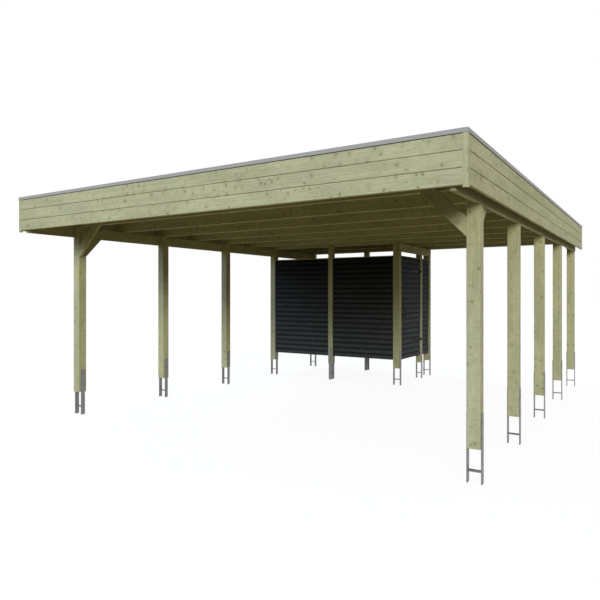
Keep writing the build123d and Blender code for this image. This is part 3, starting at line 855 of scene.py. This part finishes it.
# %% Store wall boards
WALL_BOARDS = 20
WALL_END_GAP = 0.0015
WALLS = [
    ("store_left_wall", LEFT, stained_y, "carport"),
    ("store_front_wall_left", FRONT, stained_x, "carport"),
    ("store_front_wall_right", FRONT, stained_x, "carport"),
    ("store_back_wall_left", BACK, stained_x, "carport"),
    ("store_back_wall_right", BACK, stained_x, "carport"),
    ("store_side_panel", RIGHT, stained_y, "carport"),
    ("door_leaf", RIGHT, stained_y, "store_door"),
]
for node, outward, paint, body in WALLS:
    corner, length, height = corner_of(node, outward)
    cover = height / WALL_BOARDS
    run = np.cross(outward, UP)
    starts = corner + run * WALL_END_GAP + np.arange(WALL_BOARDS)[:, None] * cover * UP
    reach = length - 2 * WALL_END_GAP
    outlines = slanted_board(cover + WALL_BOARD_SLOPE - BOARD_GAP), slanted_board(cover)
    lower = carried(outlines[0], starts[:-1], outward, reach)
    top = carried(outlines[1], starts[-1], outward, reach)
    tones = chance.random(WALL_BOARDS)
    boards = put(node + "_boards", [lower, top], paint, body, tones, [node])
    depths = [np.tile(outlines[0][:, 0], 2 * (WALL_BOARDS - 1)), np.tile(outlines[1][:, 0], 2)]
    # How far out each point lies; the material turns it into a painted highlight on the crown and painted
    # shade in the gaps.
    crown = boards.data.attributes.new("crown", "FLOAT", "POINT")
    crown.data.foreach_set("value", np.concatenate(depths) / WALL_BOARD_THICKNESS)

# %% [markdown]
# Knee braces stiffen the two front posts. They lie at 45 degrees, so each needs its own turn of the
# grain. The two that reach inwards lap over the rafter's face; the two that reach back lie against the
# beam and end level with its top. The outline is carried through the thickness, and a Bevel modifier
# eases all its edges.

# %% Knee braces
SIDE_BRACE_THICKNESS = 0.045
RAFTER_THICKNESS = 0.045
BRACE_DEPTH = 0.120
BRACE_REACH = 0.415
BRACE_LAP = 0.110
BRACE_EASE = 0.003
BRACE_EASE_STEPS = 2
BRACE_CUT = BRACE_DEPTH * math.sqrt(2)


def knee_brace(name, foot, outward, thickness, lap, paint, replaced):
    """One brace: foot is the point of the post's face level with the rafter's underside, outward the way
    it reaches; the outline rises at 45 degrees and ends a lap above that level."""
    reach = BRACE_REACH + lap
    outline = [(0, -BRACE_REACH), (reach, lap), (reach - BRACE_CUT, lap), (0, BRACE_CUT - BRACE_REACH)]
    start = foot - np.cross(outward, UP) * thickness / 2
    shape = carried(outline, start, outward, thickness)
    piece = put(name, [shape], paint, replaced=[replaced])
    edges = piece.modifiers.new("eased", "BEVEL")
    edges.width, edges.segments = BRACE_EASE, BRACE_EASE_STEPS


def face_x(node, outward):
    """Where the face of a node's box that looks left or right lies."""
    low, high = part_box(node)
    return high.x if outward[0] > 0 else low.x


rafter_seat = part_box("left_beam")[1].z
brace_faces = []
for side, inward, paint in (("left", RIGHT, brace_timber_left), ("right", LEFT, brace_timber_right)):
    post, beam, braces = side + "_post_1", side + "_beam", side + "_knee_braces"
    post_low, post_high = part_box(post)
    cross_thickness = (post_high.y - post_low.y - RAFTER_THICKNESS) / 2
    cross_face = np.array((face_x(post, inward), post_low.y, rafter_seat))
    side_face = np.array((face_x(beam, inward), post_high.y, rafter_seat)) + inward * SIDE_BRACE_THICKNESS
    brace_faces.append((inward, cross_face, side_face))
    cross_foot = cross_face + BACK * cross_thickness / 2
    side_foot = side_face - inward * SIDE_BRACE_THICKNESS / 2
    knee_brace(side + "_cross_brace", cross_foot, inward, cross_thickness, BRACE_LAP, paint, braces)
    knee_brace(side + "_side_brace", side_foot, BACK, SIDE_BRACE_THICKNESS, 0.0, brace_timber_side, braces)

# %% [markdown]
# Bolts hold the anchors to the posts and the beams in their notches. Those of the anchors have a low dome
# on both sides; those of the beams a dome outside, and inside a washer, a six-sided nut and the thread's
# end, all turned bodies.

# %% Bolt shapes
DOME = [(0.0135, 0.0), (0.0135, 0.0012), (0.0115, 0.0038), (0.0070, 0.0056), (0.0025, 0.0062)]
WASHER = [(0.0135, 0.0), (0.0140, 0.0004), (0.0140, 0.0020), (0.0135, 0.0024)]
NUT = [(0.0100, 0.0024), (0.0109, 0.0030), (0.0109, 0.0118), (0.0100, 0.0126)]
THREAD_END = [(0.0058, 0.0126), (0.0058, 0.0165), (0.0046, 0.0178)]
ROUND_SIDES, NUT_SIDES, THREAD_SIDES = 14, 6, 10


def bolts(name, axis, centres, reach, material=bolt_zinc, domed=True):
    """Domes at the centres and domes or nuts on the far side, a reach back along the axis."""
    far = centres - axis * reach
    nut = [(WASHER, ROUND_SIDES), (NUT, NUT_SIDES), (THREAD_END, THREAD_SIDES)]
    heads = turned(DOME, ROUND_SIDES, centres, axis)
    tails = [turned(shape, sides, far, -axis) for shape, sides in ([(DOME, ROUND_SIDES)] if domed else nut)]
    put(name, [heads, *tails], material)


# %% Anchor bolts
ANCHOR_BOLT_HEIGHTS = np.array((0.375, 0.525))
STRAP_THICKNESS = 0.008
BOARD_SIDE_SHIFT = 0.015
POSTS = {side: [f"{side}_post_{number}" for number in range(1, 6)] for side in ("left", "right")}


def anchor_bolts(name, posts, axis):
    """Two bolts through the straps of each post; posts maps a name to the bolts' shift along the strap."""
    boxes = np.array([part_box(post) for post in posts])
    half = (boxes[:, 1] - boxes[:, 0])[:, 0] / 2
    shifts = np.array(list(posts.values()))[:, None] * np.abs(np.cross(axis, UP))
    places = boxes.mean(axis=1) + axis * (half[:, None] + STRAP_THICKNESS) + shifts
    centres = np.repeat(places, len(ANCHOR_BOLT_HEIGHTS), axis=0)
    centres[:, 2] = np.tile(ANCHOR_BOLT_HEIGHTS, len(places))
    bolts(name, axis, centres, 2 * (half[0] + STRAP_THICKNESS))


strap_shifts = dict.fromkeys(POSTS["left"] + POSTS["right"], 0.0)
strap_shifts.update(left_post_4=BOARD_SIDE_SHIFT, left_post_5=-BOARD_SIDE_SHIFT)
strap_shifts.update(store_front_corner_post=BOARD_SIDE_SHIFT, store_back_corner_post=-BOARD_SIDE_SHIFT)
anchor_bolts("anchor_bolts", strap_shifts, RIGHT)
anchor_bolts("door_post_anchor_bolts", {"store_door_post": 0.0}, RIGHT)
middle_posts = {"store_front_middle_post": 0.0, "store_back_middle_post": 0.0}
anchor_bolts("middle_post_anchor_bolts", middle_posts, FRONT)

# %% Beam bolts
BEAM_BOLT_SPREAD = np.array((-0.028, 0.028))
BEAM_BOLT_RISE = np.array((0.045, 0.095))


def beam_bolts(name, beam, posts, outward):
    """Two bolts through the beam and the post behind it, one higher than the other."""
    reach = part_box(posts[0])[1].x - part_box(posts[0])[0].x
    centres = np.repeat([np.mean(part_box(post), axis=0) for post in posts], len(BEAM_BOLT_RISE), axis=0)
    centres[:, 0] = face_x(beam, outward)
    centres[:, 1] += np.tile(BEAM_BOLT_SPREAD, len(posts))
    centres[:, 2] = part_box(beam)[0].z + np.tile(BEAM_BOLT_RISE, len(posts))
    bolts(name, outward, centres, reach, bolt_dull, domed=False)


beam_bolts("left_beam_bolts", "left_beam", POSTS["left"], LEFT)
beam_bolts("right_beam_bolts", "right_beam", POSTS["right"], RIGHT)
beam_bolts("store_beam_bolts", "store_beam", ["store_front_corner_post", "store_back_corner_post"], RIGHT)
beam_bolts("door_post_beam_bolts", "store_beam", ["store_door_post"], RIGHT)

# %% [markdown]
# Screws hold the fascia boards and the cladding. A screw head is a shallow turned dish, eight-sided, with
# a small recess for the driver: at this size more faces would not show.

# %% Screw heads
SCREW = np.array([(0.92, -0.25), (1.0, 0.02), (0.80, 0.11), (0.42, 0.11), (0.36, -0.12)])
SCREW_SIDES = 8


def screws(name, rows, radius, material, body="carport"):
    """Screw heads of one radius; each row is an array of places and the way that its heads face."""
    centres = np.concatenate([places for places, _ in rows])
    axes = np.concatenate([np.broadcast_to(axis, places.shape) for places, axis in rows])
    put(name, [turned(SCREW * radius, SCREW_SIDES, centres, axes)], material, body)


def grid(corner, run, along, heights):
    """Every place of a row along a run, repeated at every height."""
    places = corner + run * np.asarray(along)[:, None]
    return (places[:, None] + UP * np.asarray(heights)[:, None]).reshape(-1, 3)


# %% Fascia screws
FASCIA_SCREW = 0.0038
FASCIA_SCREW_PITCH = 0.765
FASCIA_SCREW_INSET = 0.03
EDGE_DISTANCE = 0.026
TRIM_DISTANCE = 0.075
rows = []
for node, outward, _ in FASCIAS:
    corner, length, height = corner_of(node, outward)
    lower_count = int(height / FASCIA_COVER) - 1
    joints = np.append(np.arange(lower_count + 1) * FASCIA_COVER, height)
    heights = np.concatenate([joints[:-1] + EDGE_DISTANCE, joints[1:] - EDGE_DISTANCE])
    heights = np.minimum(heights, height - TRIM_DISTANCE)
    columns = round(length / FASCIA_SCREW_PITCH) + 1
    along = np.linspace(FASCIA_SCREW_INSET, length - FASCIA_SCREW_INSET, columns)
    face = corner + outward * FASCIA_THICKNESS
    rows.append((grid(face, np.cross(outward, UP), along, heights), outward))
screws("fascia_screws", rows, FASCIA_SCREW, screw_steel)

# %% Cladding screws
BOARD_SCREW = 0.0034
BOARD_SCREW_SHARE = 0.45
BATTEN_CENTRE = 0.030
for rider, name, inset in (
    ("carport", "cladding_screws", BATTEN_CENTRE),
    ("store_door", "door_cladding_screws", 2 * BATTEN_CENTRE),
):
    rows = []
    for node, outward in [(node, outward) for node, outward, _, body in WALLS if body == rider]:
        corner, length, height = corner_of(node, outward)
        heights = np.arange(WALL_BOARDS) * height / WALL_BOARDS + WALL_BOARD_FACE * BOARD_SCREW_SHARE
        face = corner + outward * WALL_BOARD_THICKNESS
        rows.append((grid(face, np.cross(outward, UP), (inset, length - inset), heights), outward))
    screws(name, rows, BOARD_SCREW, black_steel, rider)

# %% [markdown]
# The last fasteners sit on the corner strips, the braces and the door: wood screws, small round bolt
# heads on the hinge straps, and screws in the plates of the hinges and of the pull. What is on the door
# rides with it.

# %% Corner strip screws
STRIP_WIDTH = 0.040
STRIP_SCREW_SHARES = np.array((0.10, 0.36, 0.62, 0.86))
strip_low, strip_high = map(np.array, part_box("corner_strips"))
heights = strip_low[2] + (strip_high[2] - strip_low[2]) * STRIP_SCREW_SHARES
front_line = np.array((0.0, strip_low[1], 0.0))
side_line = front_line + BACK * STRIP_WIDTH / 2
strip_middle = strip_high[0] - STRIP_WIDTH / 2
rows = [(grid(front_line, RIGHT, (-strip_middle, strip_middle), heights), FRONT)]
rows += [(grid(side_line, outward, (strip_high[0],), heights), outward) for outward in (LEFT, RIGHT)]
screws("corner_strip_screws", rows, FASCIA_SCREW, screw_steel)

# %% Brace screws
BRACE_SCREW = 0.0045
FOOT_SCREWS = [(0.035, -0.350), (0.035, -0.300)]
CROSS_SCREWS = np.array([*FOOT_SCREWS, (0.365, 0.060), (0.445, 0.075)])
SIDE_SCREWS = np.array([*FOOT_SCREWS, (0.300, -0.045), (0.350, -0.030)])
rows = []
for inward, cross_face, side_face in brace_faces:
    rows.append((cross_face + CROSS_SCREWS[:, :1] * inward + CROSS_SCREWS[:, 1:] * UP, FRONT))
    rows.append((side_face + SIDE_SCREWS[:, :1] * BACK + SIDE_SCREWS[:, 1:] * UP, inward))
screws("brace_screws", rows, BRACE_SCREW, screw_steel)

# %% Hinge and pull fasteners
HINGE_SPACING = np.array((0.090, 0.225, 0.360))
HINGE_HALF = 0.020
PLATE_THICKNESS = 0.003
SMALL_HEAD_SHARE = 0.62
SMALL_HEAD_SIDES = 12
hinge_low, hinge_high = map(np.array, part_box("door_hinge_straps"))
hinge_levels = np.array((hinge_low[2] + HINGE_HALF, hinge_high[2] - HINGE_HALF))
pin_place = frame["record"]["behaviour"]["joints"][0]["pos_m"]
strap_end = np.array((hinge_low[0] + PLATE_THICKNESS, pin_place[1], 0.0))
places = grid(strap_end, FRONT, HINGE_SPACING, hinge_levels)
strap_heads = turned(np.array(DOME) * SMALL_HEAD_SHARE, SMALL_HEAD_SIDES, places, RIGHT)
put("hinge_strap_bolts", [strap_heads], black_steel, "store_door")

PLATE_SCREW = 0.0040
PLATE_SCREW_RISE = np.array((-0.021, 0.0, 0.021))
PLATE_SCREW_BACK = 0.014
plate_low, plate_high = map(np.array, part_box("door_hinge_pins"))
plate_edge = np.array((plate_low[0] + PLATE_THICKNESS, plate_high[1], 0.0))
heights = np.add.outer(hinge_levels, PLATE_SCREW_RISE).ravel()
rows = [(grid(plate_edge, FRONT, (PLATE_SCREW_BACK,), heights), RIGHT)]
screws("hinge_plate_screws", rows, PLATE_SCREW, anchor_steel)

PULL_SCREW_RISE = np.array((-0.100, 0.100))
pull_low, pull_high = map(np.array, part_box("door_handle"))
pull_middle = (pull_low + pull_high) / 2
pull_middle[0] = pull_low[0] + PLATE_THICKNESS
rows = [(pull_middle + PULL_SCREW_RISE[:, None] * UP, RIGHT)]
screws("pull_plate_screws", rows, PLATE_SCREW, black_steel, "store_door")
